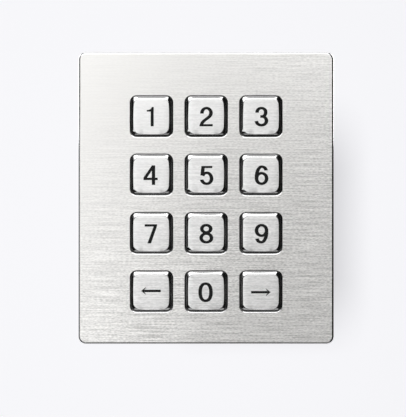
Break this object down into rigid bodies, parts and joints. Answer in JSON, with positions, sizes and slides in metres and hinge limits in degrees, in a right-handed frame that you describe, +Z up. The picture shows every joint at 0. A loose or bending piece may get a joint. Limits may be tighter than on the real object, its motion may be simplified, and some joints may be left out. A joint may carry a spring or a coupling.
{
  "type": "access keypad",
  "caption": "Flush-mounted brushed steel access keypad: a flat rectangular plate with a grid of square push keys, digits and arrows, and a closed rear cover.",
  "frame": {"origin": "centre of the panel cut-out, in the plane where the gasket's back face meets the panel", "axes": "+X to the right as seen by the user, +Y into the panel, away from the user, +Z up"},
  "size_m": [0.0888, 0.0273, 0.1016],
  "materials": {
    "brushed_steel": "fine horizontal brush lines",
    "plated_steel": "bright zinc plate",
    "gasket_rubber": "matt closed-cell sponge",
    "silicone": "matt silicone",
    "black_nylon": "satin",
    "black_plastic": "fine spark-eroded texture",
    "board_laminate": "glossy solder resist",
    "terminal_plastic": "satin",
    "chip_plastic": "matt moulding compound",
    "relay_plastic": "satin",
    "capacitor_sleeve": "shrunk sleeve",
    "legend_paint": "satin enamel filled into the engraving"
  },
  "bodies": {
    "housing": {"buzzer": "chip_plastic", "capacitor": "capacitor_sleeve", "circuit_board": "board_laminate", "controller_chip": "chip_plastic", "cover_screw_1": "plated_steel", "cover_screw_2": "plated_steel", "cover_screw_3": "plated_steel", "cover_screw_4": "plated_steel", "cover_seal": "gasket_rubber", "frame_stud_1": "plated_steel", "frame_stud_2": "plated_steel", "frame_stud_3": "plated_steel", "frame_stud_4": "plated_steel", "front_plate": "brushed_steel", "key_frame": "black_plastic", "lock_relay": "relay_plastic", "mounting_nut_1": "plated_steel", "mounting_nut_2": "plated_steel", "mounting_nut_3": "plated_steel", "mounting_nut_4": "plated_steel", "mounting_stud_1": "plated_steel", "mounting_stud_2": "plated_steel", "mounting_stud_3": "plated_steel", "mounting_stud_4": "plated_steel", "panel_gasket": "gasket_rubber", "rear_cover": "black_plastic", "silicone_mat": "silicone", "standoff_1": "plated_steel", "standoff_2": "plated_steel", "standoff_3": "plated_steel", "standoff_4": "plated_steel", "tamper_switch": "chip_plastic", "terminal_block": "terminal_plastic"},
    "key_1": {"key_cap_1": "brushed_steel", "key_carrier_1": "black_nylon"},
    "key_2": {"key_cap_2": "brushed_steel", "key_carrier_2": "black_nylon"},
    "key_3": {"key_cap_3": "brushed_steel", "key_carrier_3": "black_nylon"},
    "key_4": {"key_cap_4": "brushed_steel", "key_carrier_4": "black_nylon"},
    "key_5": {"key_cap_5": "brushed_steel", "key_carrier_5": "black_nylon"},
    "key_6": {"key_cap_6": "brushed_steel", "key_carrier_6": "black_nylon"},
    "key_7": {"key_cap_7": "brushed_steel", "key_carrier_7": "black_nylon"},
    "key_8": {"key_cap_8": "brushed_steel", "key_carrier_8": "black_nylon"},
    "key_9": {"key_cap_9": "brushed_steel", "key_carrier_9": "black_nylon"},
    "key_left": {"key_cap_left": "brushed_steel", "key_carrier_left": "black_nylon"},
    "key_0": {"key_cap_0": "brushed_steel", "key_carrier_0": "black_nylon"},
    "key_right": {"key_cap_right": "brushed_steel", "key_carrier_right": "black_nylon"},
    "tamper": {"tamper_plunger": "black_nylon"}
  },
  "joints": [
    {"name": "key_1_press", "type": "slide", "parent": "housing", "child": "key_1", "axis": [0, 1, 0], "range_m": [0, 0.0011], "stiffness_N_per_m": 1000, "springref_m": -0.0008, "deforming": ["silicone_mat"]},
    {"name": "key_2_press", "type": "slide", "parent": "housing", "child": "key_2", "axis": [0, 1, 0], "range_m": [0, 0.0011], "stiffness_N_per_m": 1000, "springref_m": -0.0008, "deforming": ["silicone_mat"]},
    {"name": "key_3_press", "type": "slide", "parent": "housing", "child": "key_3", "axis": [0, 1, 0], "range_m": [0, 0.0011], "stiffness_N_per_m": 1000, "springref_m": -0.0008, "deforming": ["silicone_mat"]},
    {"name": "key_4_press", "type": "slide", "parent": "housing", "child": "key_4", "axis": [0, 1, 0], "range_m": [0, 0.0011], "stiffness_N_per_m": 1000, "springref_m": -0.0008, "deforming": ["silicone_mat"]},
    {"name": "key_5_press", "type": "slide", "parent": "housing", "child": "key_5", "axis": [0, 1, 0], "range_m": [0, 0.0011], "stiffness_N_per_m": 1000, "springref_m": -0.0008, "deforming": ["silicone_mat"]},
    {"name": "key_6_press", "type": "slide", "parent": "housing", "child": "key_6", "axis": [0, 1, 0], "range_m": [0, 0.0011], "stiffness_N_per_m": 1000, "springref_m": -0.0008, "deforming": ["silicone_mat"]},
    {"name": "key_7_press", "type": "slide", "parent": "housing", "child": "key_7", "axis": [0, 1, 0], "range_m": [0, 0.0011], "stiffness_N_per_m": 1000, "springref_m": -0.0008, "deforming": ["silicone_mat"]},
    {"name": "key_8_press", "type": "slide", "parent": "housing", "child": "key_8", "axis": [0, 1, 0], "range_m": [0, 0.0011], "stiffness_N_per_m": 1000, "springref_m": -0.0008, "deforming": ["silicone_mat"]},
    {"name": "key_9_press", "type": "slide", "parent": "housing", "child": "key_9", "axis": [0, 1, 0], "range_m": [0, 0.0011], "stiffness_N_per_m": 1000, "springref_m": -0.0008, "deforming": ["silicone_mat"]},
    {"name": "key_left_press", "type": "slide", "parent": "housing", "child": "key_left", "axis": [0, 1, 0], "range_m": [0, 0.0011], "stiffness_N_per_m": 1000, "springref_m": -0.0008, "deforming": ["silicone_mat"]},
    {"name": "key_0_press", "type": "slide", "parent": "housing", "child": "key_0", "axis": [0, 1, 0], "range_m": [0, 0.0011], "stiffness_N_per_m": 1000, "springref_m": -0.0008, "deforming": ["silicone_mat"]},
    {"name": "key_right_press", "type": "slide", "parent": "housing", "child": "key_right", "axis": [0, 1, 0], "range_m": [0, 0.0011], "stiffness_N_per_m": 1000, "springref_m": -0.0008, "deforming": ["silicone_mat"]},
    {"name": "tamper_press", "type": "slide", "parent": "housing", "child": "tamper", "axis": [0, -1, 0], "range_m": [0, 0.0015], "stiffness_N_per_m": 400, "springref_m": -0.0005}
  ]
}
